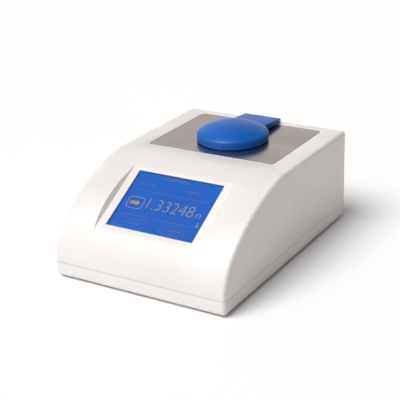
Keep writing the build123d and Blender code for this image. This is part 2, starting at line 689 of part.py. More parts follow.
def fuse_drawer():
    """Drawer that slides out of the inlet with two fuses in it."""
    place = (INLET[0], INLET[1] - 9.6)
    drawer = y_slab(25.2, 5.8, PANEL_IN - 16, PANEL_Y + 2.5, place, 0.5)
    drawer += y_slab(20.0, 2.2, PANEL_Y + 2.0, PANEL_Y + 4.0, place, 0.5)
    drawer -= y_slab(22.0, 7.0, PANEL_IN - 14, PANEL_Y - 3, (place[0], place[1] + 2.5))
    return drawer


def rocker_frame():
    """Bezel and body of the mains switch."""
    body = y_slab(13.0, 27.0, PANEL_IN - 16, PANEL_Y, ROCKER)
    body += y_slab(17.0, 31.0, PANEL_Y, PANEL_Y + 2.0, ROCKER, 1.5)
    body -= y_slab(10.4, 23.4, PANEL_IN - 12, PANEL_Y + 3, ROCKER)
    body -= rod_x(ROCKER_PIN + PIN_PLAY, ROCKER[0] - 6.2, ROCKER[0] + 6.2, ROCKER_Y, ROCKER[1])
    return body


def mains_rocker():
    """Rocker, resting with its lower half pressed in."""
    outline = Polyline((0, -11.0, 3.2), (0, 0, 1.4), (0, 11.0, 3.2), (0, 8.0, -6.5), (0, -8.0, -6.5), close=True)
    face = make_face(outline)
    lying = extrude(face, 4.8, both=True)
    upright = Rot(-90, 0, 0) * lying
    pivot = Pos(ROCKER[0], ROCKER_Y, ROCKER[1])
    rocker = pivot * Rot(-ROCKER_SWING, 0, 0) * upright
    return rocker + rod_x(ROCKER_PIN, ROCKER[0] - 6.0, ROCKER[0] + 6.0, ROCKER_Y, ROCKER[1])


def serial_port():
    """Nine-way connector shell with its jack posts."""
    body = y_slab(31.0, 12.5, PANEL_Y, PANEL_Y + 1.0, SERIAL, 1.0)
    body += y_slab(20.0, 11.0, PANEL_IN - 10, PANEL_Y, SERIAL, 1.8)
    shell = y_slab(17.6, 9.0, PANEL_Y + 1.0, PANEL_Y + 6.0, SERIAL, 2.4)
    shell -= y_slab(16.6, 8.0, PANEL_Y + 1.0, PANEL_Y + 7.0, SERIAL, 2.0)
    core = y_slab(15.6, 7.0, PANEL_Y + 1.0, PANEL_Y + 5.0, SERIAL, 1.8)
    for row, count in ((1.4, 5), (-1.4, 4)):
        for i in range(count):
            x = SERIAL[0] + (i - (count - 1) / 2) * 2.76
            core -= rod_y(0.5, PANEL_Y + 2, PANEL_Y + 6, x, SERIAL[1] + row)
    for side in (-1, 1):
        body -= rod_y(1.6, PANEL_Y - 1, PANEL_Y + 2, SERIAL[0] + side * 12.5, SERIAL[1])
    return body + shell + core


def jack_posts():
    """Threaded posts each side of the serial connector."""
    posts = []
    for side in (-1, 1):
        x = SERIAL[0] + side * 12.5
        head = Plane(origin=(x, PANEL_Y + 1.0, SERIAL[1]), x_dir=(1, 0, 0), z_dir=(0, 1, 0))
        post = extrude(head * RegularPolygon(2.6, 6), 4.0)
        post += rod_y(1.5, PANEL_IN - 4, PANEL_Y + 1.0, x, SERIAL[1])
        post -= rod_y(1.0, PANEL_Y + 1.5, PANEL_Y + 6, x, SERIAL[1])
        posts.append(post)
    return posts


def usb_port():
    """Square data connector."""
    body = y_slab(12.0, 11.0, PANEL_IN - 14, PANEL_Y + 1.0, USB, 0.6)
    body -= y_slab(9.0, 8.0, PANEL_Y - 8, PANEL_Y + 2, USB, 1.2)
    body += y_slab(5.6, 3.2, PANEL_Y - 8.5, PANEL_Y, USB)
    return body


def fan_frame():
    """Square fan housing with four arms to its motor hub."""
    y1 = PANEL_IN
    y0 = y1 - FAN_DEPTH
    frame = y_slab(FAN_SIZE, FAN_SIZE, y0, y1, FAN, 4.0)
    frame -= rod_y(28.6, y0 - 1, y1 + 1, *FAN)
    for angle in (20, 110, 200, 290):
        arm = Pos(FAN[0], y0 + 1.5, FAN[1]) * Rot(0, angle, 0) * (Pos(20, 0, 0) * Box(22, 3, 3))
        frame += arm
    frame += rod_y(13.0, y0, y0 + 3, *FAN)
    frame += rod_y(4.0, y0 + 3, y0 + 9, *FAN)
    frame -= rod_y(1.55, y0 + 1, y0 + 10, *FAN)
    for x, z in FAN_HOLES:
        frame -= rod_y(1.7, y0 - 1, y1 + 1, x, z)
    return frame


def fan_rotor():
    """Hub cup, shaft and seven pitched blades."""
    y0 = PANEL_IN - FAN_DEPTH + 4.0
    y1 = PANEL_IN - 2.0
    hub = rod_y(12.5, y0, y1, *FAN) - rod_y(10.5, y0 - 1, y1 - 2, *FAN)
    hub += rod_y(1.5, y0 - 1.5, y1 - 1, *FAN)
    centre = Pos(FAN[0], (y0 + y1) / 2, FAN[1])
    for i in range(7):
        blade = Pos(19.5, 0, 0) * Rot(38, 0, 0) * Box(15.6, 15.0, 1.4)
        hub += centre * Rot(0, 360 / 7 * i, 0) * blade
    return hub


def fan_screws():
    """Four screws that hold the fan to the panel."""
    screw = Rot(-90, 0, 0) * pan_screw(1.5, 2.9, FAN_DEPTH + 4, 1.8)
    nut = Rot(-90, 0, 0) * (extrude(RegularPolygon(3.0, 6), 2.0) - Cylinder(1.5, 8))
    fixings = []
    for x, z in FAN_HOLES:
        fixings.append(Pos(x, PANEL_Y, z) * screw)
        fixings.append(Pos(x, PANEL_IN - FAN_DEPTH - 2.0, z) * nut)
    return fixings


# ---------------------------------------------------------------- cooling and electronics
PELTIER_X = -42.0


def peltier_module():
    """Thermoelectric cooler against the left flank of the optical block."""
    return block(PELTIER_X - 3.8, PELTIER_X, WELL_Y + 12, WELL_Y + 42, BLOCK_LOW + 6, BLOCK_LOW + 36)


def heat_sink():
    """Finned aluminium block in the fan's air stream."""
    x1 = PELTIER_X - 3.8
    y0, y1 = WELL_Y + 8, WELL_Y + 54
    sink = block(x1 - 6, x1, y0, y1, BLOCK_LOW - 24, BLOCK_LOW + 44)
    for i in range(8):
        z = BLOCK_LOW - 24 + 9.4 * i
        sink += block(x1 - 48, x1 - 5, y0, y1, z, z + 2.0)
    return sink


def main_board():
    """Main circuit board with its larger components."""
    z = FLOOR + 8
    y = FRONT + 88
    board = block(-76, 76, y - 48, y + 48, z, z + 1.6)
    for x, dy, wide, long, tall in ((-30, 5, 28, 28, 2.4), (20, 18, 18, 18, 2.4), (-58, -20, 10, 46, 8.5),
                                    (45, -25, 22, 14, 6.0), (-30, -28, 34, 9, 9.0), (8, 42, 26, 9, 9.0),
                                    (60, 26, 14, 30, 10.0)):
        board += block(x - wide / 2, x + wide / 2, y + dy - long / 2, y + dy + long / 2, z + 1.4, z + 1.6 + tall)
    for x, y2 in ((-20, y + 36), (-32, y + 36), (42, y + 5)):
        board += rod(4.0, z + 1.4, z + 14, x, y2)
    for x, y2 in BOARD_POSTS:
        board -= rod(1.7, z - 1, z + 3, x, y2)
    return board


def board_posts():
    """Brass standoffs under the main board and the power supply."""
    places = BOARD_POSTS + [(SUPPLY_X + dx, y) for dx, y in SUPPLY_POSTS]
    return [tube(3.2, 1.5, FLOOR, FLOOR + 8, x, y) for x, y in places]


def board_screws():
    """Eight screws that hold the two boards to their standoffs."""
    screw = pan_screw(1.5, 2.9, 7.0, 1.8)
    places = BOARD_POSTS + [(SUPPLY_X + dx, y) for dx, y in SUPPLY_POSTS]
    return [Pos(x, y, FLOOR + 9.6) * screw for x, y in places]


def power_supply():
    """Open-frame supply: board, transformer, capacitors and heat sinks."""
    z = FLOOR + 8
    y = FRONT + 232
    supply = block(SUPPLY_X - 31, SUPPLY_X + 31, y - 50, y + 50, z, z + 1.6)
    supply += block(SUPPLY_X - 14, SUPPLY_X + 14, y - 14, y + 14, z + 1.4, z + 24)
    supply += block(SUPPLY_X + 22, SUPPLY_X + 25, y - 32, y + 26, z + 1.4, z + 26)
    supply += block(SUPPLY_X - 25, SUPPLY_X - 22, y - 26, y + 10, z + 1.4, z + 22)
    supply += block(SUPPLY_X - 20, SUPPLY_X + 6, y + 40, y + 49, z + 1.4, FLOOR + 20)
    for dx, dy, radius, tall in ((10, 30, 9, 28), (-6, -34, 6, 20), (10, -34, 6, 20)):
        supply += rod(radius, z + 1.4, z + tall, SUPPLY_X + dx, y + dy)
    for dx, py in SUPPLY_POSTS:
        supply -= rod(1.7, z - 1, z + 3, SUPPLY_X + dx, py)
    return supply


def bezier_point(poles, t):
    """Point and unit direction of a Bezier curve given by (y, z) poles."""
    level = poles
    while len(level) > 2:
        level = [((1 - t) * a[0] + t * b[0], (1 - t) * a[1] + t * b[1]) for a, b in zip(level, level[1:])]
    (y0, z0), (y1, z1) = level
    size = hypot(y1 - y0, z1 - z0)
    return (1 - t) * y0 + t * y1, (1 - t) * z0 + t * z1, (y1 - y0) / size, (z1 - z0) / size


def ribbon(x, width, thickness, poles, steps=10):
    """Flat cable along a Bezier curve in a YZ plane."""
    left, right = [], []
    for step in range(steps + 1):
        y, z, dy, dz = bezier_point(poles, step / steps)
        left.append((x - width / 2, y - dz * thickness / 2, z + dy * thickness / 2))
        right.append((x - width / 2, y + dz * thickness / 2, z - dy * thickness / 2))
    outline = Spline(*left) + Line(left[-1], right[-1]) + Spline(*reversed(right)) + Line(right[0], left[0])
    return extrude(make_face(outline), width, dir=(1, 0, 0))


def display_cable():
    """Ribbon from the display's socket down to the main board."""
    top = (SCREEN * Pos(-30, -38, -16.1)).position
    low = (FRONT + 60, FLOOR + 18.6)
    return ribbon(-30, 24, 0.8, [(top.Y, top.Z), (top.Y + 10, top.Z - 20), (low[0], low[1] + 20), low])


def sensor_cable():
    """Ribbon from the sensor card forward to the main board."""
    card = (barrel_place(1) * Pos(0, 12, 72.4)).position
    end = (FRONT + 130, FLOOR + 18.6)
    poles = [(card.Y, card.Z), (card.Y + 16, card.Z - 40), (WELL_Y, FLOOR), (end[0], end[1] + 30), end]
    return ribbon(8, 20, 0.8, poles, 16)


def mains_leads():
    """Three insulated leads from the inlet to the power supply's terminals."""
    leads = []
    for i in range(3):
        x = SUPPLY_X - 15 + 8.0 * i
        z = INLET[1] + 4.0
        route = [(x, PANEL_IN - 22, z), (x, PANEL_IN - 40, z), (x, FRONT + 277, 70), (x, FRONT + 277, FLOOR + 20)]
        path = FilletPolyline(*route, radius=8)
        face = Plane(origin=route[0], z_dir=(0, -1, 0)) * Circle(1.3)
        leads.append(sweep(face, path))
    return leads


NODES = [
    base_tray, rubber_feet, foot_screws, case_screws, upper_housing, rear_frame,
    display_gasket, touch_glass, lcd_module, display_bracket, display_screws,
    deck_plate, deck_clips, sample_well, well_screws, prism_seal, measuring_prism, prism_carrier,
    temperature_probe, optical_block, block_pillars, lamp_barrel, collimator_lens, band_filter,
    lamp_board, sensor_barrel, sensor_lens, sensor_board,
    lid_cover, lid_arm, lid_pad, lid_seal, lid_screws, pad_screw, hinge_lug, hinge_pin, hinge_screws,
    rear_panel, panel_screws, power_inlet, inlet_pins, fuse_drawer, rocker_frame, mains_rocker,
    serial_port, jack_posts, usb_port, fan_frame, fan_rotor, fan_screws,
    peltier_module, heat_sink, main_board, board_posts, board_screws, display_cable, sensor_cable,
    power_supply, mains_leads,
]

if __name__ == "__main__":
    os.makedirs("parts", exist_ok=True)
    for make in NODES:
        shape = make()
        if isinstance(shape, list):
            shape = Compound(children=shape)
        export_step(shape, f"parts/{make.__name__}.step")
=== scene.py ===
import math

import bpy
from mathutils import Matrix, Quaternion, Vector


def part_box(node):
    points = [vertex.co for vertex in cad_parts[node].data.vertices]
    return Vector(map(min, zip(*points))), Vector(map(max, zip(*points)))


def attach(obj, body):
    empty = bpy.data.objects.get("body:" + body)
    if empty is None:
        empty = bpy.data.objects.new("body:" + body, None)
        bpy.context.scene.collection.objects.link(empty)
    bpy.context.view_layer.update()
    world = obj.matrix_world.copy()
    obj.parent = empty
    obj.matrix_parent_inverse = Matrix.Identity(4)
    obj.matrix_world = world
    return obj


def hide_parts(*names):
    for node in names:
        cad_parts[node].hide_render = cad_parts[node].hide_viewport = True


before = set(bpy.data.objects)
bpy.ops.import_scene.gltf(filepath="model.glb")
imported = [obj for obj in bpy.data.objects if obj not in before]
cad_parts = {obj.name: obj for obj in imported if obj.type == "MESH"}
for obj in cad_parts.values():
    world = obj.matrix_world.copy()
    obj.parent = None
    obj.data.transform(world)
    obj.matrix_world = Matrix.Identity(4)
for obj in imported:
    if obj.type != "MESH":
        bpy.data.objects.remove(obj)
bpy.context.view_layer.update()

# Benchtop automatic refractometer: white moulded case, sloping lit display, brushed steel
# deck with the prism well, blue hinged lid, and the connector panel in the rear bay.
# Lengths are in metres, and MM turns millimetres into them.

MM = 0.001

# ---------------------------------------------------------------- places taken from the frame
CASE_LOW, CASE_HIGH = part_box("upper_housing")
HALF, FRONT, REAR, SEAM, DECK = CASE_HIGH.x, CASE_LOW.y, CASE_HIGH.y, CASE_LOW.z, CASE_HIGH.z
TRAY_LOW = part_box("base_tray")[0].z
PLATE_LOW, PLATE_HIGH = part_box("deck_plate")
LID_LOW, LID_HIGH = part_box("lid_cover")
WELL = (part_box("sample_well")[0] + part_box("sample_well")[1]) / 2
HINGE = (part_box("hinge_pin")[0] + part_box("hinge_pin")[1]) / 2
ARM_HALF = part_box("hinge_pin")[1].x + 0.5 * MM
PANEL_LOW, PANEL_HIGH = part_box("rear_panel")
GLASS_MID = (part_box("touch_glass")[0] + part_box("touch_glass")[1]) / 2

# ---------------------------------------------------------------- case sizes
WALL = 3 * MM
EDGE_ROUND = 5 * MM
TRAY_ROUND = 4.5 * MM
PART_GAP = 0.6 * MM
TRAY_MOUTH = WALL + 2.2 * MM  # inset of the tray's opening
CRISP = 0.4 * MM             # the small radius that a mould leaves on a sharp corner
NEAR = 0.01 * MM             # close enough to count as the same place
PAST = MM                    # how far a cutting block stands past what it cuts
# control points of the curved front in millimetres: back from the front, up from the parting line
NOSE = [(0, 0), (0, 22), (12, 75), (128, 107.5), (160, 107.5)]

TILT = math.radians(28.6)    # display above horizontal
POCKET_HALF = 76.3 * MM
POCKET_FLARE = 0.45
WINDOW = (129.5 * MM, 95 * MM)
TOUCH = (137 * MM, 102.5 * MM)
GLASS_DEPTH = 2.6 * MM       # middle of the touch glass below the pocket floor
POCKET_RISE = 16 * MM        # the pocket's cutting wedge stands this far above its floor
PLATE_GAP = 0.3 * MM
PLATE_LEDGE = 6 * MM         # the housing's ledge under the edge of the deck plate
PLATE_CORNER = 8 * MM
BAY_GAP = 0.3 * MM
BAY_LEDGE = 9 * MM           # the frame's ledge behind the edge of the connector panel
BAY_WALL = 2.5 * MM
SLOPE = Vector((0, -math.sin(TILT), math.cos(TILT)))
SCREEN = GLASS_MID + SLOPE * GLASS_DEPTH

# ---------------------------------------------------------------- viewpoint and light
VIEW_AZIMUTH, VIEW_HEIGHT, VIEW_ROLL = 31.505, 22.96, -2.069      # degrees
VIEW_DISTANCE = 1.4295
VIEW_TARGET = Vector((0, 0.0035, 0.054))
VIEW_SHIFT = (-0.0203, 0.0181)
LENS = 94.08
KEY_FROM = Vector((-0.27, -0.5, 0.96))
CARD_FROM = Vector((-0.48, 0.79, 0.39))
FRONT_FROM = Vector((-0.45, -0.8, 0.4))


# ---------------------------------------------------------------- modelling helpers
def only(*pieces):
    """Selects these pieces and nothing else, the first one active."""
    bpy.ops.object.select_all(action="DESELECT")
    for piece in pieces:
        piece.select_set(True)
    bpy.context.view_layer.objects.active = pieces[0]


def pick(piece, kind, wanted):
    """Opens the piece in edit mode with its faces, edges or vertices picked by place and direction."""
    only(piece)
    bpy.ops.object.mode_set(mode="EDIT")
    bpy.ops.mesh.select_mode(type=kind)
    bpy.ops.mesh.select_all(action="DESELECT")
    bpy.ops.object.mode_set(mode="OBJECT")
    mesh = piece.data
    if kind == "FACE":
        for face in mesh.polygons:
            face.select = wanted(face.center, face.normal)
    elif kind == "EDGE":
        for edge in mesh.edges:
            a, b = (mesh.vertices[i].co for i in edge.vertices)
            edge.select = wanted((a + b) / 2, (b - a).normalized())
    else:
        for point in mesh.vertices:
            point.select = wanted(point.co, point.normal)
    bpy.ops.object.mode_set(mode="EDIT")


def pick_all(piece, kind="FACE"):
    """Opens the piece in edit mode with everything picked."""
    only(piece)
    bpy.ops.object.mode_set(mode="EDIT")
    bpy.ops.mesh.select_mode(type=kind)
    bpy.ops.mesh.select_all(action="SELECT")


def done():
    """Back to object mode."""
    bpy.ops.object.mode_set(mode="OBJECT")


def settle(name):
    """Names the active piece and puts its place into its mesh."""
    piece = bpy.context.object
    piece.name = name
    piece.data.name = name
    only(piece)
    bpy.ops.object.transform_apply(location=True, rotation=True, scale=True)
    return piece


def pull(vector):
    """Extrudes what is picked along a vector."""
    bpy.ops.mesh.extrude_region_move(TRANSFORM_OT_translate={"value": tuple(vector)})


def tidy_skin(piece, gap=0.005 * MM):
    """Merges doubles and turns the faces outwards."""
    pick_all(piece)
    bpy.ops.mesh.remove_doubles(threshold=gap)
    bpy.ops.mesh.normals_make_consistent(inside=False)
    done()


def modify(piece, kind, **settings):
    """Adds a modifier with these settings and applies it."""
    only(piece)
    step = piece.modifiers.new(kind.lower(), kind)
    for name, value in settings.items():
        setattr(step, name, value)
    bpy.ops.object.modifier_apply(modifier=step.name)


def combine(piece, tool, how):
    """Joins, cuts or crosses the piece with a tool, which is used up."""
    modify(piece, "BOOLEAN", object=tool, operation=how, solver="EXACT")
    bpy.data.objects.remove(tool)


def cut(piece, tool):
    combine(piece, tool, "DIFFERENCE")


def weld(piece, tool):
    combine(piece, tool, "UNION")


def soften(piece, width=CRISP, steps=2, angle=30):
    """Rounds every sharp edge a little, as moulding, turning or deburring does."""
    modify(piece, "BEVEL", width=width, segments=steps, limit_method="ANGLE",
           angle_limit=math.radians(angle), use_clamp_overlap=True, harden_normals=False)


def smooth(piece, angle=30):
    """Smooth shading, kept sharp over the angle."""
    only(piece)
    bpy.ops.object.shade_smooth_by_angle(angle=math.radians(angle))


def block(name, low, high):
    """Block between two corners, ready to be shaped."""
    low, high = Vector(low), Vector(high)
    bpy.ops.mesh.primitive_cube_add(size=1, location=(low + high) / 2, scale=high - low)
    return settle(name)


def rod(name, radius, start, end, sides=64):
    """Round bar from one point to another."""
    start, end = Vector(start), Vector(end)
    along = end - start
    turn = along.to_track_quat("Z", "Y").to_euler()
    bpy.ops.mesh.primitive_cylinder_add(vertices=sides, radius=radius, depth=along.length,
                                        location=(start + end) / 2, rotation=turn)
    return settle(name)


def rounded_block(name, low, high, radius, axis="Z", steps=6):
    """Block with the four edges along one axis rounded."""
    piece = block(name, low, high)
    index = "XYZ".index(axis)
    pick(piece, "EDGE", lambda place, way: abs(way[index]) > 0.99)
    bpy.ops.mesh.bevel(offset=radius, segments=steps, affect="EDGES")
    done()
    return piece


def copy_of(piece, name):
    """A copy with its own mesh."""
    twin = piece.copy()
    twin.data = piece.data.copy()
    twin.name = name
    bpy.context.scene.collection.objects.link(twin)
    return twin


def joined(name, pieces):
    """Several pieces made one."""
    only(*pieces)
    bpy.ops.object.join()
    piece = bpy.context.object
    piece.name = name
    return piece


def turned(name, profile, centre, steps=96):
    """Lathe work: an outline of (radius, height) points spun about an upright line."""
    x, y, z = centre
    bpy.ops.mesh.primitive_plane_add(size=MM, location=(x + profile[0][0], y, z + profile[0][1]))
    piece = settle(name)
    pick_all(piece, "VERT")
    bpy.ops.mesh.merge(type="CENTER")
    for (r0, z0), (r1, z1) in zip(profile, profile[1:]):
        pull((r1 - r0, 0, z1 - z0))
    bpy.ops.mesh.select_all(action="SELECT")
    bpy.ops.mesh.spin(steps=steps, angle=2 * math.pi, center=(x, y, z), axis=(0, 0, 1))
    done()
    tidy_skin(piece)
    return piece


def tip(piece):
    """Carries a piece drawn flat about the origin into the display's slope."""
    piece.rotation_euler = (TILT, 0, 0)
    piece.location = SCREEN
    only(piece)
    bpy.ops.object.transform_apply(location=True, rotation=True, scale=True)
    return piece


def dress(piece, finish, body, slot, *nodes):
    """Gives a piece its material and body, and says which CAD nodes it stands for."""
    piece.data.materials.clear()
    piece.data.materials.append(finish)
    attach(piece, body)
    if nodes:
        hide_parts(*nodes)
    return piece


# ---------------------------------------------------------------- material helpers
WAVE = math.pi / 10          # a wave texture's scale for one metre between its crests


def linear(code):
    """sRGB hex to linear colour."""
    parts = [int(code[i:i + 2], 16) / 255 for i in (0, 2, 4)]
    return [c / 12.92 if c <= 0.04045 else ((c + 0.055) / 1.055) ** 2.4 for c in parts] + [1.0]


def blank(name):
    """A new material with no nodes in it yet."""
    material = bpy.data.materials.new(name)
    material.use_nodes = True
    material.node_tree.nodes.clear()
    return material


def add(material, kind, inputs=None, **settings):
    """Adds a node. Inputs are values or sockets by the socket's name or number."""
    node = material.node_tree.nodes.new("ShaderNode" + kind)
    for name, value in settings.items():
        setattr(node, name, value)
    for name, value in (inputs or {}).items():
        if isinstance(value, bpy.types.NodeSocket):
            material.node_tree.links.new(value, node.inputs[name])
        else:
            node.inputs[name].default_value = value
    return node


def spots(material, size, detail=2.0, stretch=(1, 1, 1)):
    """Noise on the object's own coordinates, its patches about size metres across."""
    place = add(material, "TexCoord").outputs["Object"]
    place = add(material, "Mapping", {"Vector": place, "Scale": stretch}).outputs[0]
    return add(material, "TexNoise", {"Vector": place, "Scale": 1 / size, "Detail": detail}).outputs[0]


def between(material, value, low, high):
    """A 0 to 1 value spread between two others."""
    return add(material, "MapRange", {0: value, 1: 0.3, 2: 0.7, 3: low, 4: high}).outputs[0]


def tint(material, value, first, second):
    """Mixes two hex colours by a value."""
    return add(material, "Mix", {0: value, 6: linear(first), 7: linear(second)}, data_type="RGBA").outputs[2]


def relief(material, height, depth):
    """Bump of this depth in metres."""
    return add(material, "Bump", {"Height": height, "Distance": depth, "Strength": 1.0}).outputs[0]


def surfaced(material, **inputs):
    """Principled shader into the material's output. Underscores stand for spaces."""
    named = {name.replace("_", " "): value for name, value in inputs.items()}
    shader = add(material, "BsdfPrincipled", named).outputs[0]
    add(material, "OutputMaterial", {"Surface": shader})
    return material


# ---------------------------------------------------------------- materials
def moulded_white_abs():
    """ABS, injection moulded in a spark-eroded tool: satin, a fine even grain, a faint cloudy tone.
    The real grain is about 0.3 mm and is drawn at 0.9 mm so that it shows."""
    m = blank("moulded_white_abs")
    grain = spots(m, 0.9 * MM)
    cloud = spots(m, 60 * MM, 1.0)
    return surfaced(m, Base_Color=tint(m, between(m, cloud, 0, 1), "E1DDDB", "DCD8D7"),
                    Roughness=between(m, grain, 0.36, 0.46), IOR=1.54, Normal=relief(m, grain, 0.012 * MM))


def moulded_blue_abs():
    """ABS coloured in the mass, moulded in a finer tool: deeper colour and a broad soft shine."""
    m = blank("moulded_blue_abs")
    grain = spots(m, 0.8 * MM)
    cloud = spots(m, 25 * MM, 1.0)
    return surfaced(m, Base_Color=tint(m, between(m, cloud, 0, 1), "035AB2", "0255A8"),
                    Roughness=between(m, grain, 0.30, 0.38), IOR=1.42, Normal=relief(m, grain, 0.006 * MM))


def brushed_stainless():
    """Stainless sheet, belt brushed along its length: fine streaks that blur what it mirrors.
    Brush lines are about 0.1 mm apart and are drawn at 0.5 mm."""
    m = blank("brushed_stainless")
    streak = spots(m, 0.5 * MM, 3.0, (0.04, 1, 1))
    cloud = spots(m, 45 * MM, 2.0, (0.5, 1, 1))
    return surfaced(m, Base_Color=tint(m, between(m, cloud, 0, 1), "BDB7B4", "ADA7A4"), Metallic=1.0,
                    Roughness=between(m, streak, 0.17, 0.26), Normal=relief(m, streak, 0.003 * MM))


def turned_stainless():
    """Stainless steel turned on a lathe and polished: bright, with faint rings 0.5 mm apart."""
    m = blank("turned_stainless")
    place = add(m, "TexCoord").outputs["Object"]
    centred = add(m, "Mapping", {"Vector": place, "Location": (-WELL.x, -WELL.y, 0)}).outputs[0]
    rings = add(m, "TexWave", {"Vector": centred, "Scale": WAVE / (0.5 * MM), "Distortion": 0.4},
                wave_type="RINGS", rings_direction="Z").outputs[1]
    return surfaced(m, Base_Color=linear("C9C6C3"), Metallic=1.0,
                    Roughness=between(m, rings, 0.16, 0.26), Normal=relief(m, rings, 0.003 * MM))


def zinc_plated_steel():
    """Zinc-plated screw steel: pale, slightly cloudy, half dull."""
    m = blank("zinc_plated_steel")
    cloud = spots(m, 1.5 * MM)
    return surfaced(m, Base_Color=tint(m, cloud, "C8CACC", "AEB2B6"), Metallic=1.0,
                    Roughness=between(m, cloud, 0.28, 0.45))


def galvanised_sheet():
    """Galvanised steel sheet with its frozen spangle, 6 mm across."""
    m = blank("galvanised_sheet")
    place = add(m, "TexCoord").outputs["Object"]
    spangle = add(m, "TexVoronoi", {"Vector": place, "Scale": 1 / (6 * MM)}).outputs[0]
    return surfaced(m, Base_Color=tint(m, spangle, "B4B8BA", "92979B"), Metallic=1.0,
                    Roughness=between(m, spangle, 0.35, 0.5))


def optical_glass():
    """Polished sapphire and optical glass: clear, very smooth, a faint dust haze."""
    m = blank("optical_glass")
    haze = spots(m, 4 * MM)
    return surfaced(m, Base_Color=linear("F2F6F8"), Roughness=between(m, haze, 0.02, 0.05), IOR=1.77,
                    Transmission_Weight=1.0)


def float_glass():
    """Touch panel glass: thin float glass with a faint film that softens its shine."""
    m = blank("float_glass")
    film = spots(m, 12 * MM)
    return surfaced(m, Base_Color=linear("F4F8FA"), Roughness=between(m, film, 0.02, 0.05), IOR=1.3,
                    Transmission_Weight=1.0)


def lit_display():
    """Backlit liquid crystal panel: saturated blue light, a little uneven over its lamps."""
    m = blank("lit_display")
    cloud = spots(m, 70 * MM, 1.0)
    colour = tint(m, between(m, cloud, 0, 1), "0067CF", "0860CA")
    return surfaced(m, Base_Color=linear("010A1C"), Roughness=0.3, IOR=1.3, Emission_Color=colour,
                    Emission_Strength=0.95)


def lit_figures():
    """Picture points that let the pale backlight through: warm grey on the blue."""
    m = blank("lit_figures")
    cloud = spots(m, 9 * MM)
    colour = tint(m, cloud, "8290A4", "9C9690")
    return surfaced(m, Base_Color=linear("3A4252"), Roughness=0.4, IOR=1.3, Emission_Color=colour,
                    Emission_Strength=0.8)


def lit_print():
    """Thin picture lines that the backlight half drowns: a paler, greyer blue."""
    m = blank("lit_print")
    cloud = spots(m, 9 * MM)
    colour = tint(m, cloud, "4868BC", "6C70AE")
    return surfaced(m, Base_Color=linear("1A2A44"), Roughness=0.4, IOR=1.3, Emission_Color=colour,
                    Emission_Strength=0.8)


def lit_symbol():
    """The picture's amber symbol colour."""
    m = blank("lit_symbol")
    cloud = spots(m, 6 * MM)
    colour = tint(m, cloud, "C79A5E", "B59A78")
    return surfaced(m, Base_Color=linear("4A3C28"), Roughness=0.4, IOR=1.5, Emission_Color=colour,
                    Emission_Strength=0.8)


def foam_gasket():
    """Closed-cell black foam strip: matt, with fine pores."""
    m = blank("foam_gasket")
    pores = spots(m, 0.6 * MM, 4.0)
    return surfaced(m, Base_Color=linear("17181A"), Roughness=between(m, pores, 0.85, 0.95), IOR=1.45,
                    Normal=relief(m, pores, 0.05 * MM))


def moulded_rubber():
    """Nitrile rubber, compression moulded: dark, dull, slightly bloomed."""
    m = blank("moulded_rubber")
    bloom = spots(m, 3 * MM)
    return surfaced(m, Base_Color=tint(m, bloom, "1D1E20", "2B2C2E"), Roughness=between(m, bloom, 0.6, 0.75),
                    IOR=1.52, Normal=relief(m, bloom, 0.01 * MM))


def silicone_seal():
    """Cast silicone: soft grey, faintly waxy."""
    m = blank("silicone_seal")
    cloud = spots(m, 4 * MM)
    return surfaced(m, Base_Color=tint(m, cloud, "3A3D40", "4A4D50"), Roughness=between(m, cloud, 0.5, 0.6),
                    IOR=1.41)


def moulded_black_nylon():
    """Glass-filled nylon, moulded: black with a dry sheen and a slight grain."""
    m = blank("moulded_black_nylon")
    grain = spots(m, 0.6 * MM)
    return surfaced(m, Base_Color=tint(m, grain, "141517", "1E1F21"), Roughness=between(m, grain, 0.38, 0.52),
                    IOR=1.53, Normal=relief(m, grain, 0.01 * MM))


def powder_coated_steel():
    """Pale grey powder coat on steel sheet: satin orange peel, bumps about 1.2 mm apart."""
    m = blank("powder_coated_steel")
    peel = spots(m, 1.2 * MM, 1.0)
    return surfaced(m, Base_Color=linear("C9C8C4"), Roughness=between(m, peel, 0.4, 0.5), IOR=1.5,
                    Normal=relief(m, peel, 0.02 * MM))


def machined_aluminium():
    """Milled aluminium: bright grey with cutter marks 0.8 mm apart."""
    m = blank("machined_aluminium")
    marks = spots(m, 0.8 * MM, 2.0, (0.1, 1, 1))
    return surfaced(m, Base_Color=linear("C6C8CA"), Metallic=1.0, Roughness=between(m, marks, 0.25, 0.4),
                    Normal=relief(m, marks, 0.004 * MM))


def black_anodised_aluminium():
    """Black anodised aluminium: dark, dry, with the metal's sheen under the dye."""
    m = blank("black_anodised_aluminium")
    grain = spots(m, 0.5 * MM)
    return surfaced(m, Base_Color=tint(m, grain, "1A1B1D", "232427"), Metallic=0.6,
                    Roughness=between(m, grain, 0.4, 0.55))


def turned_brass():
    """Turned brass: warm yellow with light tarnish."""
    m = blank("turned_brass")
    tarnish = spots(m, 3 * MM)
    return surfaced(m, Base_Color=tint(m, tarnish, "C9A552", "A98A45"), Metallic=1.0,
                    Roughness=between(m, tarnish, 0.22, 0.4))


def solder_masked_board():
    """Glass-epoxy board under green solder mask: the weave and tracks show as faint tone."""
    m = blank("solder_masked_board")
    weave = spots(m, 1.8 * MM, 1.0, (1, 0.3, 1))
    return surfaced(m, Base_Color=tint(m, between(m, weave, 0, 1), "14503A", "1C6046"), Roughness=0.35,
                    IOR=1.55, Normal=relief(m, weave, 0.02 * MM))


def fired_ceramic():
    """Alumina plates of the cooler: white, matt, slightly speckled."""
    m = blank("fired_ceramic")
    speck = spots(m, 0.8 * MM)
    return surfaced(m, Base_Color=tint(m, speck, "E9E7E2", "DAD7D0"), Roughness=between(m, speck, 0.6, 0.75),
                    IOR=1.6)


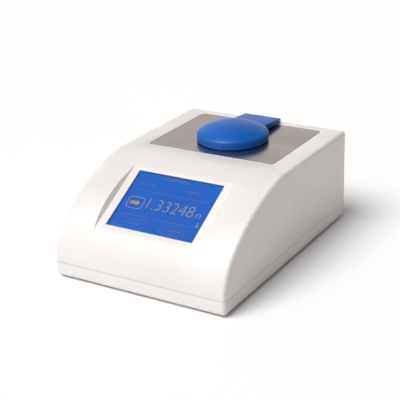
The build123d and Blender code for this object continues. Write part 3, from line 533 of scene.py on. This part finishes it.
def ribbon_cable():
    """Flat PVC ribbon, its cores 1.27 mm apart."""
    m = blank("ribbon_cable")
    place = add(m, "TexCoord").outputs["Object"]
    cores = add(m, "TexWave", {"Vector": place, "Scale": WAVE / (1.27 * MM)}, bands_direction="X").outputs[1]
    return surfaced(m, Base_Color=tint(m, cores, "A7A9AB", "C4C5C6"), Roughness=0.5, IOR=1.53,
                    Normal=relief(m, cores, 0.1 * MM))


def pvc_insulation():
    """Extruded PVC on the leads: smooth, slightly waxy."""
    m = blank("pvc_insulation")
    cloud = spots(m, 8 * MM)
    return surfaced(m, Base_Color=tint(m, cloud, "7A4A2A", "6A4026"), Roughness=between(m, cloud, 0.35, 0.45),
                    IOR=1.53)


def studio_paper():
    """Seamless paper under the object: matt, nearly white, faint mottle."""
    m = blank("studio_paper")
    mottle = spots(m, 0.4, 1.0)
    return surfaced(m, Base_Color=tint(m, mottle, "F5F5F5", "F3F3F3"), Roughness=0.9, IOR=1.3)


FINISHES = {
    "housing_white": moulded_white_abs(), "lid_blue": moulded_blue_abs(),
    "deck_steel": brushed_stainless(), "well_steel": turned_stainless(),
    "zinc_screw": zinc_plated_steel(), "sheet_steel": galvanised_sheet(),
    "prism_glass": optical_glass(), "touch_glass": float_glass(), "lcd_blue": lit_display(),
    "black_rubber": moulded_rubber(), "seal_rubber": silicone_seal(),
    "black_plastic": moulded_black_nylon(), "panel_paint": powder_coated_steel(),
    "machined_aluminium": machined_aluminium(), "black_aluminium": black_anodised_aluminium(),
    "brass": turned_brass(), "circuit_board": solder_masked_board(), "ceramic": fired_ceramic(),
    "ribbon_grey": ribbon_cable(), "lead_insulation": pvc_insulation(),
}
FINISH_FIGURES, FINISH_PRINT, FINISH_SYMBOL = lit_figures(), lit_print(), lit_symbol()


def finish_cad_nodes():
    """Every CAD node gets the material of its slot, and the display's gasket its foam."""
    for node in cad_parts.values():
        for place in node.material_slots:
            place.material = FINISHES[place.material.name.split(".")[0]]
    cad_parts["display_gasket"].material_slots[0].material = foam_gasket()


# ---------------------------------------------------------------- case
def case_block():
    """The housing before anything is cut: its side outline drawn out across the width."""
    bpy.ops.object.select_all(action="DESELECT")
    bpy.ops.curve.primitive_nurbs_path_add()
    outline = bpy.context.object.data
    spline = outline.splines[0]
    for point, (back, up) in zip(spline.points, NOSE):
        point.co = (-HALF, FRONT + back * MM, SEAM + up * MM, 1)
    spline.order_u = len(NOSE)
    spline.use_endpoint_u = True
    outline.resolution_u = 14
    nose_end = NOSE[-1][0] * MM
    only(bpy.context.object)
    bpy.ops.object.convert(target="MESH")
    piece = settle("case_top")
    pick(piece, "VERT", lambda place, way: place.y > FRONT + nose_end - NEAR)
    pull((0, REAR - FRONT - nose_end, 0))
    pull((0, 0, SEAM - DECK))
    pull((0, FRONT - REAR, 0))
    bpy.ops.mesh.select_all(action="SELECT")
    bpy.ops.mesh.remove_doubles(threshold=NEAR)
    bpy.ops.mesh.edge_face_add()
    pull((2 * HALF, 0, 0))
    bpy.ops.mesh.select_all(action="SELECT")
    bpy.ops.mesh.normals_make_consistent(inside=False)
    done()
    return piece


def pocket_block(grow):
    """Wedge that cuts the flat display pocket, its sides leaning outwards."""
    half = POCKET_HALF + 1.2 * grow
    reach = 115 * MM
    piece = block("pocket", (-half, -reach, -grow), (half, reach, POCKET_RISE))
    pick(piece, "FACE", lambda place, way: way.z > 0.9)
    spread = 1 + POCKET_FLARE * (POCKET_RISE + grow) / half
    bpy.ops.transform.resize(value=(spread, 1, 1), center_override=(0, 0, 0))
    done()
    return tip(piece)


def screen_block(name, size, low, high, radius):
    """Rounded plate parallel to the display, between two depths from the pocket floor."""
    wide, tall = size
    return tip(rounded_block(name, (-wide / 2, -tall / 2, low), (wide / 2, tall / 2, high), radius))


def plate_block(name, grow, low):
    """Block over the deck plate's outline, grown on all four sides, from a height up past the deck."""
    return rounded_block(name, (PLATE_LOW.x - grow, PLATE_LOW.y - grow, low),
                         (PLATE_HIGH.x + grow, PLATE_HIGH.y + grow, DECK + PAST), PLATE_CORNER)


def bay_block(name, grow, front, rear):
    """Block as wide and tall as the connector bay, grown on all four sides."""
    grow += BAY_GAP
    return block(name, (PANEL_LOW.x - grow, front, PANEL_LOW.z - grow),
                 (PANEL_HIGH.x + grow, rear, PANEL_HIGH.z + grow))


def case_top():
    """White moulded housing: curved nose, display pocket, deck recess and rear bay."""
    shell = case_block()
    hollow = copy_of(shell, "hollow")
    pick_all(hollow)
    bpy.ops.transform.shrink_fatten(value=-WALL, use_even_offset=True)
    done()
    pick(hollow, "FACE", lambda place, way: way.z < -0.9)
    bpy.ops.transform.translate(value=(0, 0, -2 * WALL))
    done()
    cut(hollow, pocket_block(WALL))
    pick(shell, "EDGE", lambda place, way: place.z > SEAM + NEAR and (
        (abs(place.x) > HALF - NEAR and abs(way.x) < 0.5) or (place.y > REAR - NEAR and abs(way.x) > 0.5)))
    bpy.ops.mesh.bevel(offset=EDGE_ROUND, segments=8, affect="EDGES")
    done()
    cut(shell, hollow)
    cut(shell, pocket_block(0))
    cut(shell, screen_block("window", WINDOW, -WALL - PAST, PAST, MM))
    cut(shell, screen_block("rebate", [side + 0.5 * MM for side in TOUCH], -WALL - PAST, -1.5 * MM, 0.5 * MM))
    cut(shell, plate_block("recess", PLATE_GAP, PLATE_LOW.z))
    cut(shell, plate_block("deck_opening", -PLATE_LEDGE, DECK - 4 * WALL))
    cut(shell, bay_block("bay_hole", BAY_WALL + 0.1 * MM, REAR - 3 * WALL, REAR + PAST))
    soften(shell)
    smooth(shell, 35)
    return dress(shell, FINISHES["housing_white"], "case", "housing_white", "upper_housing")


def rear_frame():
    """Moulded frame of the rear bay, with the ledge that carries the connector panel."""
    seat = PANEL_LOW.y
    inner_face = REAR - WALL
    piece = bay_block("rear_bay_frame", BAY_WALL, seat - WALL, REAR - BAY_GAP)
    weld(piece, bay_block("flange", BAY_WALL + 2.1 * MM, inner_face - BAY_WALL, inner_face))
    cut(piece, bay_block("bay", 0, seat, REAR + PAST))
    cut(piece, bay_block("bay_opening", -BAY_LEDGE, seat - 2 * WALL, seat + PAST))
    soften(piece)
    smooth(piece)
    return dress(piece, FINISHES["housing_white"], "case", "housing_white", "rear_frame")


def inset_block(name, inset, low, high, radius):
    """Rounded block that follows the case's outline at an inset."""
    return rounded_block(name, (-HALF + inset, FRONT + inset, low),
                         (HALF - inset, REAR - inset, high), radius)


def tray_ring(name, outside, low, high):
    """Upright rim of the tray, from an inset in to the mouth."""
    ring = inset_block(name, outside, low, high, 3 * MM)
    cut(ring, inset_block("core", TRAY_MOUTH, low - PAST, high + PAST, 2 * MM))
    return ring


def spread_out(name, piece, places):
    """A piece copied to each of these offsets, all made one."""
    twins = []
    for place in places:
        twin = copy_of(piece, name)
        twin.location = place
        twins.append(twin)
    bpy.data.objects.remove(piece)
    joined(name, twins)
    return settle(name)


def screw_wells():
    """Round pockets under the tray for the four feet and the six case screws."""
    below = TRAY_LOW - PAST
    foot = rod("foot_well", 9.2 * MM, (0, 0, below), (0, 0, TRAY_LOW + MM), 48)
    feet = [(x, y, 0) for x in (-HALF + 28 * MM, HALF - 28 * MM) for y in (FRONT + 30 * MM, REAR - 30 * MM)]
    head = rod("head_well", 4.2 * MM, (0, 0, below), (0, 0, TRAY_LOW + 2.9 * MM), 32)
    heads = [(x, y, 0) for x in (-HALF + 11 * MM, HALF - 11 * MM)
             for y in (FRONT + 22 * MM, 0, REAR - 18 * MM)]
    return joined("wells", [spread_out("foot_wells", foot, feet), spread_out("head_wells", head, heads)])


def vent_slots():
    """Two ladders of nine air slots through the tray's floor."""
    long, wide, pitch = 42 * MM, 3.2 * MM, 8 * MM
    slot = rounded_block("slot", (-long / 2, -wide / 2, TRAY_LOW - PAST),
                         (long / 2, wide / 2, TRAY_LOW + 2 * WALL), 1.5 * MM)
    return spread_out("slots", slot, [(x, FRONT + 200 * MM + row * pitch, 0)
                                      for x in (-74 * MM, 74 * MM) for row in range(9)])


def case_base():
    """Lower tray: rounded lower edge, tongue behind the shadow line, vents and screw wells."""
    lip = SEAM - PART_GAP
    tray = rounded_block("case_base", (-HALF, FRONT, TRAY_LOW), (HALF, REAR, lip), EDGE_ROUND, steps=8)
    pick(tray, "EDGE", lambda place, way: place.z < TRAY_LOW + NEAR)
    bpy.ops.mesh.bevel(offset=TRAY_ROUND, segments=8, affect="EDGES")
    done()
    weld(tray, tray_ring("seam_lip", 1.2 * MM, lip - MM, SEAM))
    weld(tray, tray_ring("tongue", WALL + 0.2 * MM, lip - 2 * MM, lip + 2.6 * MM))
    cut(tray, inset_block("inside", WALL, TRAY_LOW + WALL, lip - 2 * MM, 3 * MM))
    cut(tray, inset_block("mouth", TRAY_MOUTH, TRAY_LOW + 2 * WALL, SEAM + 10 * MM, 2 * MM))
    cut(tray, screw_wells())
    cut(tray, vent_slots())
    soften(tray, 0.25 * MM)
    smooth(tray)
    return dress(tray, FINISHES["housing_white"], "case", "housing_white", "base_tray")


# ---------------------------------------------------------------- display
# depths from the pocket floor, looking into the window: the glass, then the marks, then the lit panel
GLASS_FRONT, GLASS_BACK = -2.0 * MM, -2.95 * MM
MARK_FRONT, PANEL_FRONT, PANEL_BACK = -3.0 * MM, -3.12 * MM, -3.2 * MM
# small print in millimetres right and down of the window's corner: left, right, middle, height, letters
SMALL_PRINT = [(36, 82, 5, 3.8, 10), (118, 125, 5, 2.6, 2), (10, 35, 19, 3.2, 6), (79, 103, 18.5, 3.8, 6),
               (108, 113, 18.5, 2.8, 1), (21, 44, 83, 4.0, 5), (82, 106, 82.5, 4.0, 5)]
# rules: left, right, top, foot; and touch keys: the same, then corner radius and line width
RULES = [(9, 119, 29.1, 30.1), (7, 125, 70.1, 71.1)]
TOUCH_KEYS = [(8, 52, 76, 90, 3.5, 0.9), (75, 110, 75, 89, 3.5, 0.9)]


def touch_pane():
    """Thin glass with ground edges behind the gasket."""
    pane = screen_block("touch_pane", TOUCH, GLASS_BACK, GLASS_FRONT, 1.5 * MM)
    soften(pane, 0.15 * MM)
    return dress(pane, FINISHES["touch_glass"], "case", "touch_glass", "touch_glass")


def lit_panel():
    """The picture area, its light coming from behind the glass."""
    panel = screen_block("lit_panel", [side - 2 * MM for side in TOUCH], PANEL_BACK, PANEL_FRONT, MM)
    return dress(panel, FINISHES["lcd_blue"], "case", "lcd_blue")


def on_screen(x, y):
    """From millimetres right and down of the window's corner to the display's own axes."""
    return x * MM - WINDOW[0] / 2, WINDOW[1] / 2 - y * MM


def dash(x0, x1, y0, y1):
    """Small raised bar on the picture, with its corners rounded."""
    (left, top), (right, low) = on_screen(x0, y0), on_screen(x1, y1)
    radius = 0.3 * min(right - left, top - low)
    return rounded_block("dash", (left, low, PANEL_FRONT), (right, top, MARK_FRONT), radius, steps=2)


def caption(x0, x1, middle, height, letters):
    """A line of unreadable small print: dashes of two heights."""
    pitch = (x1 - x0) / letters
    made = []
    for i in range(letters):
        tall = height if i % 3 else 0.7 * height
        made.append(dash(x0 + i * pitch, x0 + (i + 0.72) * pitch, middle - tall / 2, middle + tall / 2))
    return made


def outline_box(x0, x1, y0, y1, radius, line):
    """Rounded frame drawn with a line of this width."""
    (left, top), (right, low) = on_screen(x0, y0), on_screen(x1, y1)
    radius, line = radius * MM, line * MM
    frame_box = rounded_block("frame", (left, low, PANEL_FRONT), (right, top, MARK_FRONT), radius)
    cut(frame_box, rounded_block("inside", (left + line, low + line, PANEL_FRONT - PAST),
                                 (right - line, top - line, MARK_FRONT + PAST), radius - line))
    return frame_box


def reading():
    """The measured value in figures, drawn as text and made a mesh."""
    bpy.ops.object.select_all(action="DESELECT")
    bpy.ops.object.text_add()
    text = bpy.context.object
    text.data.body = "1.33248"
    text.data.offset = -0.012
    half_thick = 0.01
    text.data.extrude = half_thick
    only(text)
    bpy.ops.object.convert(target="MESH")
    figures = bpy.context.object
    xs = [v.co.x for v in figures.data.vertices]
    ys = [v.co.y for v in figures.data.vertices]
    (left, top), (right, low) = on_screen(38.5, 39.5), on_screen(108, 57)
    wide, tall = (right - left) / (max(xs) - min(xs)), (top - low) / (max(ys) - min(ys))
    figures.scale = (wide, tall, (MARK_FRONT - PANEL_FRONT) / (2 * half_thick))
    figures.location = (left - min(xs) * wide, low - min(ys) * tall, (PANEL_FRONT + MARK_FRONT) / 2)
    return settle("figures")


def display_figures():
    """The reading, the rounded frame of the symbol and the unit beside it."""
    unit = outline_box(112.5, 119.5, 48.5, 58.5, 2.6, 1.3)
    (left, top), (right, low) = on_screen(111, 56), on_screen(121, 60)
    cut(unit, block("open_foot", (left, low, PANEL_FRONT - PAST), (right, top, MARK_FRONT + PAST)))
    marks = [reading(), outline_box(8, 33, 41, 60.5, 6, 1.1), unit,
             dash(120.5, 122.2, 62, 69), dash(118.8, 124, 66.6, 68.2)]
    return dress(tip(joined("display_figures", marks)), FINISH_FIGURES, "case", "lcd_blue")


def display_print():
    """Fainter things on the picture: small print, rules and the outlines of two touch keys."""
    marks = [bar for row in SMALL_PRINT for bar in caption(*row)]
    marks += [dash(*rule) for rule in RULES] + [outline_box(*key) for key in TOUCH_KEYS]
    return dress(tip(joined("display_print", marks)), FINISH_PRINT, "case", "lcd_blue")


def display_symbol():
    """Solid arrow in the rounded frame: a bar drawn out into a head."""
    (left, top), (right, low) = on_screen(13, 48.6), on_screen(21.5, 53.4)
    arrow = block("display_symbol", (left, low, PANEL_FRONT), (right, top, MARK_FRONT))
    middle = (right, (top + low) / 2, (PANEL_FRONT + MARK_FRONT) / 2)
    pick(arrow, "FACE", lambda place, way: way.x > 0.9)
    pull((0.3 * MM, 0, 0))
    bpy.ops.transform.resize(value=(1, 1.9, 1), center_override=middle)
    pull((5.2 * MM, 0, 0))
    bpy.ops.transform.resize(value=(1, 0.08, 1), center_override=middle)
    done()
    return dress(tip(arrow), FINISH_SYMBOL, "case", "lcd_blue")


# ---------------------------------------------------------------- lid
LID_RADIUS = LID_HIGH.x
LID_WALL = 2.5 * MM
LID_RIM = 10 * MM
LID_RISE = LID_HIGH.z - LID_LOW.z - LID_RIM
DOME_BALL = (LID_RADIUS ** 2 + LID_RISE ** 2) / (2 * LID_RISE)
SHOULDER_SETBACK = 2.1 * MM  # of a 4 mm round where the dome meets the rim
CAP_STEPS = 16
ARM_START = 38 * MM          # arm begins this far behind the lid's centre
ARM_FOOT, ARM_HEAD = DECK + 4 * MM, DECK + 11.6 * MM
ARM_GAP = 0.25 * MM          # clear space in the dome's notch around the arm
EYE_RADIUS, PIN_RADIUS = 3.2 * MM, 1.5 * MM
LUG_HALF = 10 * MM           # half width of the arm's slot for the hinge lug
DISC_RADIUS, DISC_LOW, DISC_HIGH = 44 * MM, DECK + 6.5 * MM, DECK + 9 * MM
GROOVE_DEPTH, GROOVE_HALF = 0.9 * MM, 0.8 * MM


def sloping_bar(name, left, right, front, rear):
    """Bar from under the dome to the hinge. Front and rear are its low and high faces' heights there."""
    start, foot, head = WELL.y + ARM_START, DECK, DECK + 10 * MM
    bar = block(name, (left, start, foot), (right, HINGE.y, head))
    middle_y, middle_z = (start + HINGE.y) / 2, (foot + head) / 2
    for at_rear, (low, high) in ((False, front), (True, rear)):
        for upper, rise in ((True, high - head), (False, low - foot)):
            pick(bar, "VERT", lambda place, way: (place.y > middle_y) == at_rear
                 and (place.z > middle_z) == upper)
            bpy.ops.transform.translate(value=(0, 0, rise))
            done()
    return bar


def arm_wedge(name, grow):
    """The arm's tapering bar."""
    half, eye = ARM_HALF + grow, EYE_RADIUS + grow
    return sloping_bar(name, -half, half, (ARM_FOOT - grow, ARM_HEAD + grow), (HINGE.z - eye, HINGE.z + eye))


def face_upwards(dome):
    """Turns an open dome's faces outwards: the ones at its top have to look up."""
    top = [face for face in dome.data.polygons if face.center.z > LID_HIGH.z - 2 * MM]
    if sum(face.normal.z for face in top) < 0:
        pick_all(dome)
        bpy.ops.mesh.flip_normals()
        done()


def lid_dome():
    """Blue light-shield dome: ball cap, rounded shoulder, straight rim, hollow inside."""
    centre_z = LID_HIGH.z - DOME_BALL
    angles = [math.asin(LID_RADIUS / DOME_BALL) * i / CAP_STEPS for i in range(CAP_STEPS + 1)]
    profile = [(DOME_BALL * math.sin(a), centre_z + DOME_BALL * math.cos(a)) for a in angles]
    dome = turned("lid_dome", profile + [(LID_RADIUS, LID_LOW.z)], (0, WELL.y, 0), 128)
    shoulder = LID_LOW.z + LID_RIM
    pick(dome, "EDGE", lambda place, way: abs(place.z - shoulder) < 0.05 * MM and abs(way.z) < 0.1)
    bpy.ops.mesh.bevel(offset=SHOULDER_SETBACK, segments=8, affect="EDGES")
    done()
    tidy_skin(dome)
    face_upwards(dome)
    modify(dome, "SOLIDIFY", thickness=LID_WALL, offset=-1, use_even_offset=True)
    cut(dome, arm_wedge("notch", ARM_GAP))
    half = ARM_HALF + ARM_GAP
    cut(dome, block("notch_below", (-half, WELL.y + 30 * MM, LID_LOW.z - PAST),
                    (half, WELL.y + 60 * MM, DECK + 5 * MM)))
    soften(dome, angle=40)
    smooth(dome, 40)
    return dress(dome, FINISHES["lid_blue"], "lid", "lid_blue", "lid_cover")


def lid_bar():
    """Blue arm with its carrying disc, hinge eyes and a shallow groove along each side."""
    bar = arm_wedge("lid_bar", 0)
    weld(bar, rod("eyes", EYE_RADIUS, (-ARM_HALF, HINGE.y, HINGE.z), (ARM_HALF, HINGE.y, HINGE.z), 48))
    weld(bar, rod("disc", DISC_RADIUS, (0, WELL.y, DISC_LOW), (0, WELL.y, DISC_HIGH), 96))
    cut(bar, block("lug_slot", (-LUG_HALF, HINGE.y - 4 * MM, DECK),
                   (LUG_HALF, HINGE.y + 5 * MM, DECK + 20 * MM)))
    middle = (ARM_FOOT + ARM_HEAD) / 2 + 0.2 * MM
    for side in (-ARM_HALF, ARM_HALF):
        cut(bar, sloping_bar("side_groove", side - GROOVE_DEPTH, side + GROOVE_DEPTH,
                             (middle - GROOVE_HALF, middle + GROOVE_HALF),
                             (HINGE.z - GROOVE_HALF, HINGE.z + GROOVE_HALF)))
    past = ARM_HALF + PAST
    cut(bar, rod("pin_bore", PIN_RADIUS, (-past, HINGE.y, HINGE.z), (past, HINGE.y, HINGE.z), 32))
    soften(bar, steps=3)
    smooth(bar)
    return dress(bar, FINISHES["lid_blue"], "lid", "lid_blue", "lid_arm")


# ---------------------------------------------------------------- stage, light and camera
def stage():
    """Plain pale floor."""
    bpy.ops.object.select_all(action="DESELECT")
    bpy.ops.mesh.primitive_plane_add(size=60)
    floor = settle("floor")
    floor.data.materials.append(studio_paper())


def glow(world, way, toward, edge, low, high):
    """Strength of the surround, from low to high inside an edge about one direction."""
    nearness = add(world, "VectorMath", {0: way, 1: toward.normalized()},
                   operation="DOT_PRODUCT").outputs["Value"]
    return add(world, "MapRange", {0: nearness, 1: edge, 2: 0.98, 3: low, 4: high},
               interpolation_type="SMOOTHSTEP").outputs[0]


def lights():
    """A soft key from the front and above, its wide glow in a dim surround, and one bright
    card low behind the object on the left, which the steel deck mirrors."""
    bpy.ops.object.light_add(type="SUN")
    key = bpy.context.object
    key.data.energy = 2.75
    key.data.angle = math.radians(40)
    key.rotation_euler = KEY_FROM.to_track_quat("Z", "Y").to_euler()
    world = bpy.data.worlds.new("studio_surround")
    world.use_nodes = True
    world.node_tree.nodes.clear()
    way = add(world, "TexCoord").outputs["Generated"]
    card = glow(world, way, CARD_FROM, 0.78, 0.16, 0.76)
    front = glow(world, way, FRONT_FROM, 0.1, 0, 0.5)
    power = add(world, "Math", {0: card, 1: front}).outputs[0]
    light = add(world, "Background", {"Color": linear("FBF7F4"), "Strength": power}).outputs[0]
    add(world, "OutputWorld", {"Surface": light})
    bpy.context.scene.world = world


def camera():
    """Right-hand front view from above."""
    azimuth, height, roll = (math.radians(a) for a in (VIEW_AZIMUTH, VIEW_HEIGHT, VIEW_ROLL))
    back = Vector((math.sin(azimuth) * math.cos(height), -math.cos(azimuth) * math.cos(height),
                   math.sin(height)))
    bpy.ops.object.camera_add(location=VIEW_TARGET + back * VIEW_DISTANCE)
    view = bpy.context.object
    view.rotation_mode = "QUATERNION"
    view.rotation_quaternion = (-back).to_track_quat("-Z", "Y") @ Quaternion((0, 0, 1), roll)
    view.data.lens = LENS
    view.data.sensor_width = 36
    view.data.shift_x, view.data.shift_y = VIEW_SHIFT
    bpy.context.scene.camera = view


bpy.context.scene.view_settings.view_transform = "Standard"
camera()
lights()
stage()
finish_cad_nodes()
case_top()
case_base()
rear_frame()
touch_pane()
lit_panel()
display_figures()
display_print()
display_symbol()
lid_dome()
lid_bar()
